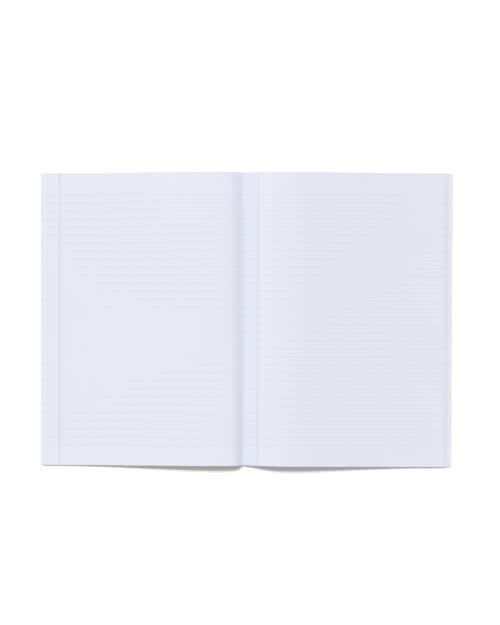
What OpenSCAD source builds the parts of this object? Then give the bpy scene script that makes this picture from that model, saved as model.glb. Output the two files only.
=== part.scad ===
// Soft-cover exercise notebook, lying open near its middle, head towards +Y.
// X runs across the spread, Y along the fold and Z up from the table. The origin
// is on the table under the fold, halfway between head and tail.

/* [Sheets] */
// Width of one page, from the fold to the fore-edge
page_w = 176; // [140:1:300]
// Height of one page, from the tail to the head
page_h = 250; // [150:1:420]
// Thickness of one leaf of paper
leaf_t = 0.08; // [0.06:0.01:0.12]
// Number of leaves that lie on the left
left_leaf_count = 9; // [6:1:18]
// Number of leaves that lie on the right
right_leaf_count = 11; // [6:1:20]
// Distance that each leaf's edge stands back from the one below it
fan_step = 0.4; // [0.05:0.01:0.5]
// Width of the cover that shows beyond the lowest left leaf
left_margin = 0.8; // [0.2:0.1:4]
// Width of the cover that shows beyond the lowest right leaf
right_margin = 3.1; // [0.2:0.1:4]
// Thickness of the cover card
card_t = 0.25; // [0.15:0.01:0.5]

/* [Lie of the open book] */
// Height that the left page swells to above its flat edge
left_swell = 4.3; // [2:0.1:7]
// Height that the right page swells to above its flat edge
right_swell = 4.8; // [2:0.1:7]
// Distance in which the left page climbs out of the valley
left_climb = 8; // [6:0.5:16]
// Distance in which the right page climbs out of the valley
right_climb = 13; // [8:0.5:16]
// Distance in which the cover lifts off the table beside the fold
card_climb = 22; // [20:1:36]
// Distance from the fold to the valley between the two pages in view
valley_shift = 2; // [1:0.1:3]
// Width of the strip along each fore-edge that lies flat
flat_strip = 10; // [6:1:30]
// Width that each half loses because it swells
swell_take_up = 0.7; // [0:0.1:3]

/* [Binding] */
// Thickness of the staple wire
wire_d = 0.4; // [0.3:0.05:0.6]
// Length of a staple along the fold
staple_w = 12; // [8:0.5:16]
// Length of each clinched leg
clinch_l = 4.6; // [2:0.1:5.5]
// Distance from the page's end to the middle of the nearer staple
staple_inset = 62; // [20:1:70]
// Room for the wire in the paper, all round
wire_room = 0.05; // [0.02:0.01:0.1]
// Gap between the two halves at the fold, so that one can turn
fold_gap = 0.4; // [0.2:0.05:0.6]

/* [Hidden] */
$fn = 24;

LEFT = -1;
RIGHT = 1;
profile_steps = 44;
crowding = 1.8;
overcut = 1;

reach_x = page_w - swell_take_up;
landing_x = reach_x - flat_strip;
valley_x = -valley_shift;
sheet_count = (left_leaf_count + right_leaf_count) / 2;

// Heights at the fold: the card lies over the staples, and the leaves over the card
card_fold_z = wire_d + card_t;
valley_z = card_fold_z + left_leaf_count * leaf_t;
centre_fold_z = card_fold_z + sheet_count * leaf_t;
leg_x = 0;
leg_y = (staple_w - wire_d) / 2;
staple_y = page_h / 2 - staple_inset;

card_colour = [0.80, 0.80, 0.82];
paper_colour = [0.91, 0.92, 0.95];
wire_colour = [0.66, 0.67, 0.69];

function leaf_count(side) = side == LEFT ? left_leaf_count : right_leaf_count;
function swell(side) = side == LEFT ? left_swell : right_swell;
function climb(side) = side == LEFT ? left_climb : right_climb;
function margin(side) = side == LEFT ? left_margin : right_margin;
function stack_top(side) = card_t + leaf_count(side) * leaf_t;
function edge_x(side, leaf) = side * (reach_x - margin(side) - leaf * fan_step);

// The swell of a half, from its full height at the fold down to the flat strip
function swell_at(side, x) = swell(side) * pow(cos(90 * min(abs(x) / landing_x, 1)), 2);

// The top page: up out of the valley, over the swell and down to the fore-edge
function page_z(side, x) =
    let (low = exp(-abs(x - valley_x) / climb(side)))
    stack_top(side) + (valley_z - stack_top(side)) * low + swell_at(side, x) * (1 - low);

// The underside of the card: on the staples at the fold, then up with the leaves
function under_z(side, x) =
    let (low = exp(-pow(x / card_climb, 2)))
    wire_d * low + swell_at(side, x) * (1 - low);

// Places from x0 to x1, close together at x0, where the paper bends most
function stations(x0, x1) =
    [for (i = [0:profile_steps]) x0 + (x1 - x0) * pow(i / profile_steps, crowding)];

function reversed(points) = [for (i = [len(points) - 1:-1:0]) points[i]];

function card_line(side, lift) =
    [for (x = stations(side * fold_gap / 2, edge_x(side, 0))) [x, under_z(side, x) + lift]];

function page_line(side) =
    let (top_edge = edge_x(side, leaf_count(side) - 1))
    [for (x = stations(valley_x + side * fold_gap / 2, top_edge)) [x, page_z(side, x)]];

// The fore-edge as a stair, with one step for each leaf
function fanned_edge(side) = [
    for (leaf = [0:leaf_count(side) - 1], corner = [0, 1])
        if (leaf + corner > 0 && leaf + corner < leaf_count(side))
            [edge_x(side, leaf), card_t + (leaf + corner) * leaf_t]
];

// Cuts a section drawn in X and Z to the full height of the page
module along_fold(points) {
    translate([0, page_h / 2, 0])
        rotate([90, 0, 0])
            linear_extrude(height = page_h)
                polygon(points);
}

module cover(side) {
    card_edge = side * reach_x;
    along_fold(concat(
        card_line(side, 0),
        [[card_edge, 0], [card_edge, card_t]],
        reversed(card_line(side, card_t))
    ));
}

module leaves(side) {
    along_fold(concat(
        card_line(side, card_t),
        fanned_edge(side),
        reversed(page_line(side))
    ));
}

// Both legs of a staple, clinched towards each other on the middle sheet's fold
module staple_legs(y, grow) {
    leg_r = wire_d / 2 + grow;
    clinch_z = centre_fold_z + wire_d / 2;
    for (end = [-1, 1]) {
        translate([leg_x, y + end * leg_y, wire_d / 2])
            cylinder(r = leg_r, h = clinch_z - wire_d / 2);
        translate([leg_x, y + end * leg_y, clinch_z]) {
            sphere(r = leg_r);
            rotate([end * 90, 0, 0])
                cylinder(r = leg_r, h = clinch_l + grow);
        }
    }
}

module staple(y) {
    color(wire_colour) {
        staple_legs(y, 0);
        translate([leg_x, y - leg_y, wire_d / 2])
            rotate([-90, 0, 0])
                cylinder(d = wire_d, h = 2 * leg_y);
        for (end = [-1, 1])
            translate([leg_x, y + end * leg_y, wire_d / 2])
                sphere(d = wire_d);
    }
}

// Half holes in the paper at the fold, where the legs of both staples come up
module leg_holes(room) {
    for (y = [-staple_y, staple_y], end = [-1, 1])
        translate([leg_x, y + end * leg_y, -overcut])
            cylinder(r = wire_d / 2 + room, h = centre_fold_z + overcut);
}

module back_cover() {
    color(card_colour)
        difference() {
            cover(RIGHT);
            leg_holes(wire_room);
        }
}

module front_cover() {
    color(card_colour)
        difference() {
            cover(LEFT);
            leg_holes(fold_gap);
        }
}

module right_leaves() {
    color(paper_colour)
        difference() {
            leaves(RIGHT);
            for (y = [-staple_y, staple_y])
                staple_legs(y, wire_room);
        }
}

module left_leaves() {
    color(paper_colour)
        difference() {
            leaves(LEFT);
            leg_holes(fold_gap);
        }
}

module head_staple() {
    staple(staple_y);
}

module tail_staple() {
    staple(-staple_y);
}

back_cover();
front_cover();
right_leaves();
left_leaves();
head_staple();
tail_staple();
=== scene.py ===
import math
import random

import bpy
import numpy as np
from mathutils import Matrix, Vector


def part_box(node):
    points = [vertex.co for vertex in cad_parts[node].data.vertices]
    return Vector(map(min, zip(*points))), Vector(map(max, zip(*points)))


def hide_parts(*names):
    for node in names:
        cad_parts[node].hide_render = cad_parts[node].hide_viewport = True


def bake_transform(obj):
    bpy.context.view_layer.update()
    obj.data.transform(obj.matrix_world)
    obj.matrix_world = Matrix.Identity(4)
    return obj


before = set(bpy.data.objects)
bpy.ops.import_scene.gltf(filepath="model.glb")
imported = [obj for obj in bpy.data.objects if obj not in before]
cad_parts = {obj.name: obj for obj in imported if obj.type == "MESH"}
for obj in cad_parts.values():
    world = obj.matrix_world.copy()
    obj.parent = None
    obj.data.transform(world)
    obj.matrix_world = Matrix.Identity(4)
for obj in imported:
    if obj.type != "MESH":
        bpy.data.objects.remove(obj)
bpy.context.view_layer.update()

MM = 0.001

# Camera, looking almost straight down on the open spread.
# It stands a little to the right of where it aims, so the right page comes out a little larger,
# and it is turned a fraction of a degree, as the page edges in the photograph are.
CAMERA_HEIGHT = 620 * MM
SIGHT_HEIGHT = 1.2 * MM
LONG_SIDE_SEEN = 530.8 * MM
SENSOR = 36.0
AIM = Vector((3.7 * MM, 5.9 * MM, SIGHT_HEIGHT))
EYE = Vector((11.7 * MM, 5.9 * MM, CAMERA_HEIGHT))
ROLL = math.radians(0.17)

camera = bpy.data.objects.new("camera", bpy.data.cameras.new("camera"))
camera.data.sensor_width = SENSOR
camera.data.lens = SENSOR * (CAMERA_HEIGHT - SIGHT_HEIGHT) / LONG_SIDE_SEEN
camera.data.clip_start = 10 * MM
camera.location = EYE
back = (EYE - AIM).normalized()
up = Vector((0, 1, 0))
across = up.cross(back).normalized()
upright = Matrix((across, back.cross(across), back)).transposed()
camera.rotation_euler = (upright @ Matrix.Rotation(ROLL, 3, "Z")).to_euler()
bpy.context.scene.collection.objects.link(camera)
bpy.context.scene.camera = camera

# Cover: one sheet of plain light card, folded down the middle.
# It is the outermost sheet of the book, so it lies lowest and reaches furthest, over the staples
# at the fold and flat on the table along both fore-edges. Its crease is the spine of the shut book.
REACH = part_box("back_cover")[1].x
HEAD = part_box("back_cover")[1].y
SHEET_HEIGHT = 248.9 * MM
TAIL = HEAD - SHEET_HEIGHT
LEAF_T = 0.08 * MM
CARD_T = 0.25 * MM
WIRE_D = 0.4 * MM
VALLEY_X = -0.9 * MM
LEFT, RIGHT = -1, 1
LEAVES = {LEFT: 9, RIGHT: 11}
SWELL = {LEFT: 4.2 * MM, RIGHT: 4.64 * MM}
CLIMB = {LEFT: 10.3 * MM, RIGHT: 26 * MM}
LANDING = {LEFT: REACH - 9 * MM, RIGHT: REACH - 5 * MM}
CARD_CLIMB = {LEFT: 15 * MM, RIGHT: 26 * MM}
VALLEY_Z = WIRE_D + CARD_T + LEAVES[LEFT] * LEAF_T
SIDE_STEPS = 110
SHEET_ROWS = 24
CROWDING = 1.8
SHARP_EDGE = math.radians(50)
CARD_CREASE = (-1.3 * MM, 0.1 * MM)
TURN_AT = 0.02 * MM
HALF_DROP = 0.72 * MM
HEAD_FLARE = 0.3 * MM
CARD_SLIP = 0.38 * MM
SPINE_FREE = 80 * MM
SPINE_WIDTH = 22 * MM
FOLD_ROUNDING = 0.02
VALLEY_BOW = 1.2 * MM
BOW_WIDTH = 6 * MM
HEAD_WIDENING = 0.2
SHOULDER_WIDTH = 20 * MM
CARD_COLOUR = (0.815, 0.808, 0.868)
PULP_SIZE = 1.6 * MM
PULP_DEPTH = 0.03 * MM


def swell_at(side, x):
    """Height of the page's swell, which runs out where the page lands on the table."""
    return SWELL[side] * np.cos(np.pi / 2 * np.minimum(np.abs(x) / LANDING[side], 1)) ** 2


def card_top(side, x):
    low = np.exp(-((x / CARD_CLIMB[side]) ** 2))
    return WIRE_D * low + swell_at(side, x) * (1 - low) + CARD_T


def page_top(side, x):
    away = np.abs(x - VALLEY_X) / CLIMB[side]
    low = np.exp(-away - away**2)
    stack = CARD_T + LEAVES[side] * LEAF_T
    return stack + (VALLEY_Z - stack) * low + swell_at(side, x) * (1 - low)


def stations(x0, x1, count):
    """Places from x0 to x1, close together at x0, where paper bends most."""
    return x0 + (x1 - x0) * (np.arange(count + 1) / count) ** CROWDING


def spread_stations(left_edge, right_edge, crease, count=SIDE_STEPS):
    """Places right across the spread, closest together beside the crease, which is one strip."""
    left = stations(crease[0], left_edge, count)[::-1]
    return np.concatenate([left, stations(crease[1], right_edge, count)])


def side_of(x):
    return LEFT if x < 0 else RIGHT


def eased(share):
    """A share that goes from 0 to 1, with a gentle start and end."""
    return share**2 * (3 - 2 * share)


def lie(points):
    """Points of the book drawn square, laid as it really lies: each half turned a little, so that
    its fore-edge is nearer the tail and the spread is wider at the head, the fold bowed a little to
    the right between head and tail, the left page's shoulder wider at the head than at the tail,
    and the spine's ends down on the table."""
    x, y, z = np.array(points).T
    out = np.sqrt((x / REACH) ** 2 + FOLD_ROUNDING**2) - FOLD_ROUNDING
    free = np.clip((np.abs(y) - SPINE_FREE) / (HEAD - SPINE_FREE), 0, 1)
    sag = WIRE_D * eased(free) * np.exp(-((x / SPINE_WIDTH) ** 2))
    flare = HEAD_FLARE * (x / REACH) * (y / HEAD - 1)
    bow = VALLEY_BOW * (1 - (y / HEAD) ** 2) * np.exp(-((x / BOW_WIDTH) ** 2))
    left_of_valley = np.minimum(x - VALLEY_X, 0)
    shoulder = np.exp(-((left_of_valley / SHOULDER_WIDTH) ** 2))
    widen = HEAD_WIDENING * (y / HEAD) * left_of_valley * shoulder
    return np.stack([x + flare + bow + widen, y - HALF_DROP * out, z - sag], axis=1).tolist()


def along(line):
    """Distance along a bent line of (x, z) points."""
    return np.concatenate([[0], np.cumsum(np.linalg.norm(np.diff(line, axis=0), axis=1))])


def upward(line):
    """Unit normals of a bent line, on its left as it is walked."""
    run = np.gradient(line, axis=0)
    run /= np.linalg.norm(run, axis=1)[:, None]
    return np.stack([-run[:, 1], run[:, 0]], axis=1)


def sheet_block(line, low, high, tail, head, rows):
    """Points, faces and flat places of a closed sheet that follows line in X and Z and runs from
    tail to head in Y. Its two faces lie at low and high off the line."""
    normal = upward(line)
    distance = along(line)
    across = len(line)
    ys = np.linspace(tail, head, rows + 1)
    points, flat = [], []
    for lift in (low, high):
        face = line + normal * lift
        for y in ys:
            points += [(x, y, z) for x, z in face]
            flat += [(place, y) for place in distance]
    side = across * (rows + 1)
    faces = []
    for row in range(rows):
        for step in range(across - 1):
            here = row * across + step
            ahead = here + across
            faces.append((here, ahead, ahead + 1, here + 1))
            faces.append((side + here, side + here + 1, side + ahead + 1, side + ahead))
    for row in range(rows):
        here, ahead = row * across, (row + 1) * across
        faces.append((here, side + here, side + ahead, ahead))
        here, ahead = here + across - 1, ahead + across - 1
        faces.append((here, ahead, side + ahead, side + here))
    for step in range(across - 1):
        faces.append((step, step + 1, side + step + 1, side + step))
        here = rows * across + step
        faces.append((here, side + here, side + here + 1, here + 1))
    return points, faces, flat


def piece(name, blocks, material):
    """One mesh object from several closed blocks, with the flat places of its sheets as a UV map
    in metres."""
    points, faces, flat = [], [], []
    for block_points, block_faces, block_flat in blocks:
        first = len(points)
        points += lie(block_points)
        flat += block_flat
        faces += [tuple(first + corner for corner in face) for face in block_faces]
    mesh = bpy.data.meshes.new(name)
    mesh.from_pydata(points, [], faces)
    mesh.polygons.foreach_set("use_smooth", [True] * len(mesh.polygons))
    mesh.set_sharp_from_angle(angle=SHARP_EDGE)
    places = mesh.uv_layers.new(name="sheet")
    corners = np.empty(len(mesh.loops), dtype=np.int32)
    mesh.loops.foreach_get("vertex_index", corners)
    places.data.foreach_set("uv", np.array(flat, dtype=np.float32)[corners].ravel())
    mesh.materials.append(material)
    made = bpy.data.objects.new(name, mesh)
    bpy.context.scene.collection.objects.link(made)
    return made


def new_material(name):
    """A material with its shader, and the flat place on the sheet as a vector in metres."""
    material = bpy.data.materials.new(name)
    material.use_nodes = True
    nodes = material.node_tree.nodes
    shader = nodes["Principled BSDF"]
    place = nodes.new("ShaderNodeUVMap")
    place.uv_map = "sheet"
    return material, nodes, material.node_tree.links, shader, place.outputs["UV"]


def speckle(nodes, links, place, grain, detail=3.0, stretch=(1, 1, 1)):
    """Noise whose grains are about that many metres across, drawn out by stretch."""
    mapping = nodes.new("ShaderNodeMapping")
    mapping.inputs["Scale"].default_value = [1 / (grain * times) for times in stretch]
    links.new(place, mapping.inputs["Vector"])
    noise = nodes.new("ShaderNodeTexNoise")
    noise.inputs["Scale"].default_value = 1.0
    noise.inputs["Detail"].default_value = detail
    links.new(mapping.outputs["Vector"], noise.inputs["Vector"])
    return noise.outputs["Fac"]


def tone(nodes, links, factor, dark, light, low=0.3, high=0.7):
    """Colours from dark to light as factor goes from low to high."""
    ramp = nodes.new("ShaderNodeMapRange")
    ramp.inputs["From Min"].default_value = low
    ramp.inputs["From Max"].default_value = high
    links.new(factor, ramp.inputs["Value"])
    mix = nodes.new("ShaderNodeMix")
    mix.data_type = "RGBA"
    mix.inputs["A"].default_value = (*dark, 1)
    mix.inputs["B"].default_value = (*light, 1)
    links.new(ramp.outputs["Result"], mix.inputs["Factor"])
    return mix.outputs["Result"]


def rough_face(nodes, links, shader, height, distance, strength):
    bump = nodes.new("ShaderNodeBump")
    bump.inputs["Strength"].default_value = strength
    bump.inputs["Distance"].default_value = distance
    links.new(height, bump.inputs["Height"])
    links.new(bump.outputs["Normal"], shader.inputs["Normal"])


def card_material():
    material, nodes, links, shader, place = new_material("cover_card")
    pulp = speckle(nodes, links, place, PULP_SIZE, 5.0, (1, 2.2, 1))
    darker = tuple(channel * 0.94 for channel in CARD_COLOUR)
    card = tone(nodes, links, pulp, darker, CARD_COLOUR)
    links.new(card, shader.inputs["Base Color"])
    shader.inputs["Roughness"].default_value = 0.7
    shader.inputs["Specular IOR Level"].default_value = 0.3
    rough_face(nodes, links, shader, pulp, PULP_DEPTH, 0.5)
    return material


card_xs = spread_stations(-REACH, REACH, CARD_CREASE)
card_line = np.array([(x, card_top(side_of(x), x) - CARD_T / 2) for x in card_xs])
cover = piece(
    "cover",
    [sheet_block(card_line, -CARD_T / 2, CARD_T / 2, TAIL, HEAD, SHEET_ROWS)],
    card_material(),
)
# Its right half has slipped a little towards the tail, out from under the leaves.
for corner in cover.data.vertices:
    corner.co.y -= CARD_SLIP * max(corner.co.x / REACH, 0.0)
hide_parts("back_cover", "front_cover")
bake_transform(cover)

# Leaves: sheets of thin white writing paper, folded once and nested in the cover.
# Each bound sheet runs across the fold and is a leaf on both sides; they lie tight together at
# the staples, part with a little air where the book swells, and end in a stair at the fore-edges.
SHEETS = (LEAVES[LEFT] + LEAVES[RIGHT]) // 2
TIGHT = 5 * MM
UNDER_ROWS = 16
UNDER_CREASE = (-1.5 * MM, 0.3 * MM)
TOP_CREASE = (-1.6 * MM, 0.4 * MM)
SET_BACK = {LEFT: 0.8 * MM, RIGHT: 4.2 * MM}
FAN_STEP = 0.36 * MM
# One paper; the right page's colour is painted a shade darker and bluer than the left's, as painted
# shade.
PAPER_COLOUR_AND_PAINTED_SHADE = {LEFT: (0.793, 0.815, 0.880), RIGHT: (0.774, 0.791, 0.883)}
PLAIN = (1, 1, 1)
# Painted shade beside the fold: the paper is made darker and bluer along the gutter, most of all
# just right of the fold.
FOLD_PAINTED_SHADE = {LEFT: (0.977, 0.985, 1.030), RIGHT: (0.945, 0.952, 0.980)}
# The spans in which the painted shade changes are measured along the sheet, with minus left of the
# fold.
FOLD_AT = 170 * MM
DARKENING = (-17.5 * MM, 1.5 * MM)
CROSSING = (-1.5 * MM, 1.5 * MM)
CLEARING = (5.5 * MM, 17.5 * MM)
PAINTED_SHADE_CHANGE = (14.5 * MM, 54.5 * MM)
CLOUD_SIZE = 60 * MM
CLOUD_SHADE = (0.99, 0.99, 0.99)
FIBRE_SIZE = 0.5 * MM
FIBRE_SHADE = (0.985, 0.985, 0.988)
FIBRE_DEPTH = 0.012 * MM
LEAF_SLIP = 0.2 * MM
HEAD_SHORT = 0.05 * MM


def leaf_edge(side, leaf):
    return side * (REACH - SET_BACK[side] - leaf * FAN_STEP)


def leaf_middle(side, x, leaf):
    """Height of a leaf's middle; the lowest leaf is 0. They lie tight at the fold and spread out
    beyond it."""
    apart = 1 - np.exp(-((x / TIGHT) ** 2))
    shared = (page_top(side, x) - card_top(side, x)) / LEAVES[side]
    pitch = LEAF_T * (1 - apart) + shared * apart
    return card_top(side, x) + (leaf + 0.5) * pitch


def bound_line(leaf, crease, count=SIDE_STEPS):
    xs = spread_stations(leaf_edge(LEFT, leaf), leaf_edge(RIGHT, leaf), crease, count)
    return np.array([(x, leaf_middle(side_of(x), x, leaf)) for x in xs])


def paper_material():
    """White paper, faintly clouded and flecked, with painted shade: a little darker and bluer
    beside the fold, and the right page a shade darker and bluer than the left.
    """
    material, nodes, links, shader, place = new_material("ruled_paper")
    split = nodes.new("ShaderNodeSeparateXYZ")
    links.new(place, split.inputs["Vector"])
    across = split.outputs["X"]

    def from_fold(start_colour, end_colour, span):
        start, end = FOLD_AT + span[0], FOLD_AT + span[1]
        return tone(nodes, links, across, start_colour, end_colour, start, end)

    # Painted shade: the colour goes from the left page's tone to the darker, bluer right page's.
    colour = from_fold(PAPER_COLOUR_AND_PAINTED_SHADE[LEFT], PAPER_COLOUR_AND_PAINTED_SHADE[RIGHT], PAINTED_SHADE_CHANGE)
    change = tuple(right / left for right, left in zip(FOLD_PAINTED_SHADE[RIGHT], FOLD_PAINTED_SHADE[LEFT]))
    # Painted shade: these three layers darken and blue the paper beside the fold.
    before = from_fold(PLAIN, FOLD_PAINTED_SHADE[LEFT], DARKENING)
    at_fold = from_fold(PLAIN, change, CROSSING)
    after = from_fold(PLAIN, tuple(1 / channel for channel in FOLD_PAINTED_SHADE[RIGHT]), CLEARING)
    patches = speckle(nodes, links, place, CLOUD_SIZE, 2.0)
    cloud = tone(nodes, links, patches, CLOUD_SHADE, PLAIN)
    fibre = speckle(nodes, links, place, FIBRE_SIZE, 4.0, (1, 2.5, 1))
    fleck = tone(nodes, links, fibre, FIBRE_SHADE, PLAIN)
    for layer in (before, at_fold, after, cloud, fleck):
        mix = nodes.new("ShaderNodeMix")
        mix.data_type = "RGBA"
        mix.blend_type = "MULTIPLY"
        mix.inputs["Factor"].default_value = 1.0
        links.new(colour, mix.inputs["A"])
        links.new(layer, mix.inputs["B"])
        colour = mix.outputs["Result"]
    links.new(colour, shader.inputs["Base Color"])
    shader.inputs["Roughness"].default_value = 0.62
    shader.inputs["Specular IOR Level"].default_value = 0.22
    rough_face(nodes, links, shader, fibre, FIBRE_DEPTH, 0.35)
    return material


paper = paper_material()
chance = random.Random(7)


def trimmed_ends():
    """Tail and head of one leaf, as the knife and the hand leave them."""
    slip = chance.uniform(0.0, 1.0) * LEAF_SLIP
    return TAIL - slip, HEAD - slip - HEAD_SHORT


under_blocks = []
for leaf in range(SHEETS - 2):
    tail, head = trimmed_ends()
    line = bound_line(leaf, UNDER_CREASE, SIDE_STEPS // 2)
    under_blocks.append(sheet_block(line, -LEAF_T / 2, LEAF_T / 2, tail, head, UNDER_ROWS))
under_sheets = piece("under_sheets", under_blocks, paper)

left_page_line = bound_line(SHEETS - 2, TOP_CREASE)
left_page_sheet = piece(
    "left_page_sheet",
    [sheet_block(left_page_line, -LEAF_T / 2, LEAF_T / 2, TAIL, HEAD, SHEET_ROWS)],
    paper,
)
for sheets in (under_sheets, left_page_sheet):
    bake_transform(sheets)
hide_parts("left_leaves", "right_leaves")
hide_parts("left_leaves")

# Middle sheet: the innermost sheet of the same paper, both of whose leaves lie on the right.
# Its upper leaf is the right page: it comes round from the fold over the clinched staples, which
# makes the valley between the two pages, and its fore-edge droops over the stair of leaves below.
BEND_X = VALLEY_X + 0.25 * MM
BEND_RISE = 0.5 * MM
BEND_RISE_WIDTH = 3 * MM
DROOP = 0.78 * MM
DROOP_START = REACH - 7.8 * MM
RIGHT_PAGE_EDGE = REACH - 2.9 * MM
MIDDLE_STEPS = 120
DROOP_STEPS = 12
BEND_STEPS = 10
BEND_TURN = (7 * MM, -28 * MM)


def right_page_middle(x):
    rise = BEND_RISE * np.exp(-(x - VALLEY_X) / BEND_RISE_WIDTH)
    past = np.clip((x - DROOP_START) / (RIGHT_PAGE_EDGE - DROOP_START), 0, 1)
    return page_top(RIGHT, x) + rise - DROOP * eased(past) - LEAF_T / 2


def middle_line():
    """The sheet's line from its lower leaf's fore-edge round the bend to the right page's, and how
    many of its places come before that page."""
    lower_leaf = SHEETS - 1
    lower_xs = stations(BEND_X, leaf_edge(RIGHT, lower_leaf), MIDDLE_STEPS)[::-1]
    lower = [(x, leaf_middle(RIGHT, x, lower_leaf)) for x in lower_xs]
    climbing = stations(BEND_X, DROOP_START, MIDDLE_STEPS)[:-1]
    drooping = np.linspace(DROOP_START, RIGHT_PAGE_EDGE, DROOP_STEPS + 1)
    upper = [(x, right_page_middle(x)) for x in np.concatenate([climbing, drooping])]
    low_z, high_z = lower[-1][1], upper[0][1]
    radius = (high_z - low_z) / 2
    turns = np.radians(np.linspace(-90, 90, BEND_STEPS + 1))[1:-1]
    bend = [
        (BEND_X - radius * math.cos(turn), low_z + radius + radius * math.sin(turn))
        for turn in turns
    ]
    return np.array(lower + bend + upper), len(lower) + len(bend)


right_page_line, right_page_first = middle_line()
right_page_sheet = piece(
    "right_page_sheet",
    [sheet_block(right_page_line, -LEAF_T / 2, LEAF_T / 2, TAIL, HEAD, SHEET_ROWS)],
    paper,
)
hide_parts("right_leaves")
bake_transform(right_page_sheet)

# Ruling: pale blue-grey feint lines and a margin line, printed on each page from edge to edge.
# The ink is a film that stands a hundredth of a millimetre proud of the paper.
# Both open pages carry all of it; the pages below have it only where their fanned edges show.
LINE_COUNT = 32
FIRST_LINE = 19.22 * MM
LINE_PITCH = 6.842 * MM
LINE_WIDTH = 0.28 * MM
MARGIN_WIDTH = 0.3 * MM
LEFT_MARGIN_X = -158.9 * MM
RIGHT_MARGIN_X = 10.4 * MM
INK_PROUD = 0.012 * MM
MARGIN_PROUD = 1.5 * INK_PROUD
INK_COLOUR = (0.615, 0.635, 0.704)
MARGIN_COLOUR = (0.420, 0.420, 0.470)
DOT_SIZE = 0.4 * MM
REGISTER = 0.1 * MM
EDGE_SHOWN = 1.2 * MM
BOUND_TURN = (TURN_AT, -TURN_AT)


def ink_material(name, colour):
    material, nodes, links, shader, place = new_material(name)
    dots = speckle(nodes, links, place, DOT_SIZE, 2.0)
    thin = tuple(channel * 1.12 for channel in colour)
    links.new(tone(nodes, links, dots, colour, thin), shader.inputs["Base Color"])
    shader.inputs["Roughness"].default_value = 0.6
    shader.inputs["Specular IOR Level"].default_value = 0.22
    return material


def line_heights(shift=0.0):
    return [HEAD - FIRST_LINE - line * LINE_PITCH + shift for line in range(LINE_COUNT)]


def ruled_lines(line, shift=0.0):
    """Blocks of ink for every ruling of one page that follows line."""
    low, high = LEAF_T / 2 - INK_PROUD, LEAF_T / 2 + INK_PROUD
    return [
        sheet_block(line, low, high, y - LINE_WIDTH / 2, y + LINE_WIDTH / 2, 1)
        for y in line_heights(shift)
    ]


def margin_line(line, x):
    """One block of ink along the page, as wide as the margin line, where the page is at x."""
    at = int(np.argmin(np.abs(line[:, 0] - x)))
    near = line[at - 2 : at + 3]
    middle = np.array([x, np.interp(x, near[:, 0], near[:, 1])])
    run = line[at + 1] - line[at - 1]
    run = run / np.linalg.norm(run) * MARGIN_WIDTH / 2
    short = np.array([middle - run, middle, middle + run])
    low, high = LEAF_T / 2 - INK_PROUD, LEAF_T / 2 + MARGIN_PROUD
    return sheet_block(short, low, high, TAIL, HEAD, SHEET_ROWS)


feint_ink = ink_material("feint_ink", INK_COLOUR)
margin_ink = ink_material("margin_ink", MARGIN_COLOUR)
left_page = left_page_line[left_page_line[:, 0] < 0]
right_page = right_page_line[right_page_first:]
fan_blocks = []
for side in (LEFT, RIGHT):
    for leaf in range(LEAVES[side] - 1):
        edge = leaf_edge(side, leaf)
        xs = np.sort(edge - side * np.array([0, 0.5, 1]) * EDGE_SHOWN)
        strip = np.array([(x, leaf_middle(side, x, leaf)) for x in xs])
        fan_blocks += ruled_lines(strip, chance.uniform(-REGISTER, REGISTER))
ruling = {
    "left_page_ruling": (ruled_lines(left_page), feint_ink, BOUND_TURN),
    "right_page_ruling": (ruled_lines(right_page), feint_ink, BEND_TURN),
    "fanned_edge_ruling": (fan_blocks, feint_ink, BOUND_TURN),
    "left_margin_line": ([margin_line(left_page, LEFT_MARGIN_X)], margin_ink, BOUND_TURN),
    "right_margin_line": ([margin_line(right_page, RIGHT_MARGIN_X)], margin_ink, BEND_TURN),
}
for name, (blocks, ink, turn) in ruling.items():
    print_on = piece(name, blocks, ink)
    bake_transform(print_on)

# Staples: galvanised wire, one near the head and one near the tail.
# The straight crown lies outside the cover along the fold; both legs come up through every sheet
# and are clinched towards each other on the middle sheet, under the right page.
STAPLE_W = 12 * MM
STAPLE_Y = 63 * MM
CLINCH_L = 4.6 * MM
WIRE_BEND = 0.45 * MM
WIRE_BEND_STEPS = 6
WIRE_SIDES = 12
CLINCH_PRESS = 0.1 * MM
WIRE_COLOUR = (0.42, 0.43, 0.44)
DRAWN_SIZE = 0.15 * MM
DRAWN_DEPTH = 0.004 * MM
FOLD_Z = WIRE_D + CARD_T + SHEETS * LEAF_T - CLINCH_PRESS


def wire_path(y_middle):
    """Centre line of a staple in the plane of the fold, from one clinched end to the other."""
    half = (STAPLE_W - WIRE_D) / 2
    low, high = WIRE_D / 2, FOLD_Z + WIRE_D / 2
    quarter = np.radians(np.linspace(0, 90, WIRE_BEND_STEPS + 1))
    bend_y = half - WIRE_BEND
    down = [(half - CLINCH_L, high)]
    for angle in quarter:
        y = bend_y + WIRE_BEND * math.sin(angle)
        down.append((y, high - WIRE_BEND + WIRE_BEND * math.cos(angle)))
    for angle in quarter:
        y = bend_y + WIRE_BEND * math.cos(angle)
        down.append((y, low + WIRE_BEND - WIRE_BEND * math.sin(angle)))
    path = down + [(-y, z) for y, z in reversed(down)]
    return [Vector((0, y_middle + y, z)) for y, z in path]


def wire_block(path, radius):
    """A round bar along a path in the plane of the fold, closed at both ends."""
    sideways = Vector((1, 0, 0))
    points, faces = [], []
    for step, centre in enumerate(path):
        run = (path[min(step + 1, len(path) - 1)] - path[max(step - 1, 0)]).normalized()
        out = run.cross(sideways)
        for turn in range(WIRE_SIDES):
            angle = math.tau * turn / WIRE_SIDES
            off_centre = radius * (math.cos(angle) * sideways + math.sin(angle) * out)
            points.append(tuple(centre + off_centre))
    for step in range(len(path) - 1):
        for turn in range(WIRE_SIDES):
            here = step * WIRE_SIDES + turn
            beside = step * WIRE_SIDES + (turn + 1) % WIRE_SIDES
            faces.append((here, beside, beside + WIRE_SIDES, here + WIRE_SIDES))
    faces.append(tuple(reversed(range(WIRE_SIDES))))
    faces.append(tuple(len(points) - WIRE_SIDES + turn for turn in range(WIRE_SIDES)))
    return points, faces, [(y, z) for x, y, z in points]


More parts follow.
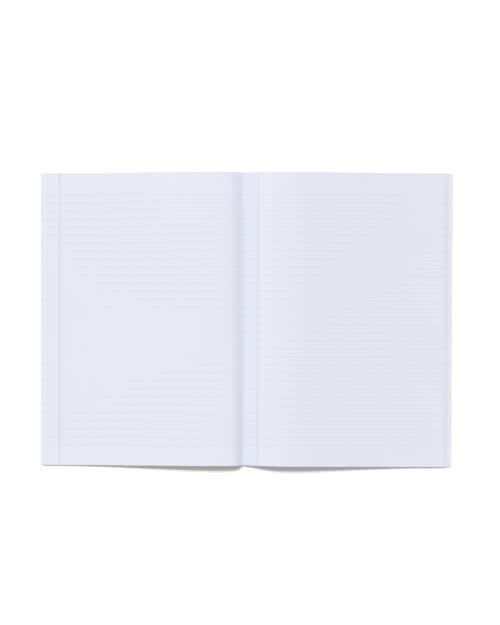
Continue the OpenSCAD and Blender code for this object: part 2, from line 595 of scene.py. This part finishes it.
def wire_material():
    material, nodes, links, shader, place = new_material("staple_wire")
    drawn = speckle(nodes, links, place, DRAWN_SIZE, 3.0, (12, 1, 1))
    dull = tuple(channel * 0.8 for channel in WIRE_COLOUR)
    links.new(tone(nodes, links, drawn, dull, WIRE_COLOUR), shader.inputs["Base Color"])
    shader.inputs["Metallic"].default_value = 1.0
    shader.inputs["Roughness"].default_value = 0.34
    rough_face(nodes, links, shader, drawn, DRAWN_DEPTH, 0.4)
    return material


wire = wire_material()
for name, y_middle in (("head_staple_wire", STAPLE_Y), ("tail_staple_wire", -STAPLE_Y)):
    staple = piece(name, [wire_block(wire_path(y_middle), WIRE_D / 2)], wire)
    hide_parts(name.removesuffix("_wire"))
    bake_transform(staple)

# Table and light: a plain white table top under one large soft lamp at the upper left,
# a weaker and much wider light from the right, and a little light from all round,
# which keep the shadow grey; the table reads white to the camera, apart from that shadow.
TABLE_SIZE = 12.0
TABLE_COLOUR = (0.97, 0.97, 0.97)
TABLE_LIFT = 0.05
LAMP_FROM = Vector((-0.46, 1.14, 1.0)).normalized()
LAMP_WIDTH = math.radians(17)
LAMP_SHARE = 0.68
FILL_FROM = Vector((1.0, -0.25, 0.9)).normalized()
FILL_WIDTH = math.radians(80)
FILL_SHARE = 0.08
SKY_SHARE = 0.26

table = bpy.data.objects.new("table", bpy.data.meshes.new("table"))
half = TABLE_SIZE / 2
corners = [(-half, -half, 0), (half, -half, 0), (half, half, 0), (-half, half, 0)]
table.data.from_pydata(corners, [], [(0, 1, 2, 3)])
bpy.context.scene.collection.objects.link(table)

table_white = bpy.data.materials.new("table_white")
table_white.use_nodes = True
nodes, links = table_white.node_tree.nodes, table_white.node_tree.links
shader = nodes["Principled BSDF"]
shader.inputs["Base Color"].default_value = (*TABLE_COLOUR, 1)
shader.inputs["Roughness"].default_value = 0.9
shader.inputs["Specular IOR Level"].default_value = 0.0
shader.inputs["Emission Color"].default_value = (1, 1, 1, 1)
seen_by = nodes.new("ShaderNodeLightPath")
seen = nodes.new("ShaderNodeMath")
seen.operation = "MAXIMUM"
links.new(seen_by.outputs["Is Camera Ray"], seen.inputs[0])
links.new(seen_by.outputs["Is Glossy Ray"], seen.inputs[1])
lift = nodes.new("ShaderNodeMath")
lift.operation = "MULTIPLY"
lift.inputs[1].default_value = TABLE_LIFT
links.new(seen.outputs["Value"], lift.inputs[0])
links.new(lift.outputs["Value"], shader.inputs["Emission Strength"])
table.data.materials.append(table_white)

for name, come_from, width, share in (
    ("lamp", LAMP_FROM, LAMP_WIDTH, LAMP_SHARE),
    ("fill", FILL_FROM, FILL_WIDTH, FILL_SHARE),
):
    lamp = bpy.data.objects.new(name, bpy.data.lights.new(name, "SUN"))
    lamp.data.angle = width
    lamp.data.energy = share * math.pi / come_from.z
    lamp.rotation_euler = (-come_from).to_track_quat("-Z", "Y").to_euler()
    bpy.context.scene.collection.objects.link(lamp)

sky = bpy.data.worlds.new("sky")
sky.use_nodes = True
bpy.context.scene.world = sky
nodes, links = sky.node_tree.nodes, sky.node_tree.links
glow = nodes["Background"]
glow.inputs["Color"].default_value = (1, 1, 1, 1)
seen_by = nodes.new("ShaderNodeLightPath")
strength = nodes.new("ShaderNodeMapRange")
strength.inputs["To Min"].default_value = SKY_SHARE
strength.inputs["To Max"].default_value = 1.0
links.new(seen_by.outputs["Is Camera Ray"], strength.inputs["Value"])
links.new(strength.outputs["Result"], glow.inputs["Strength"])

bpy.context.scene.view_settings.view_transform = "Standard"
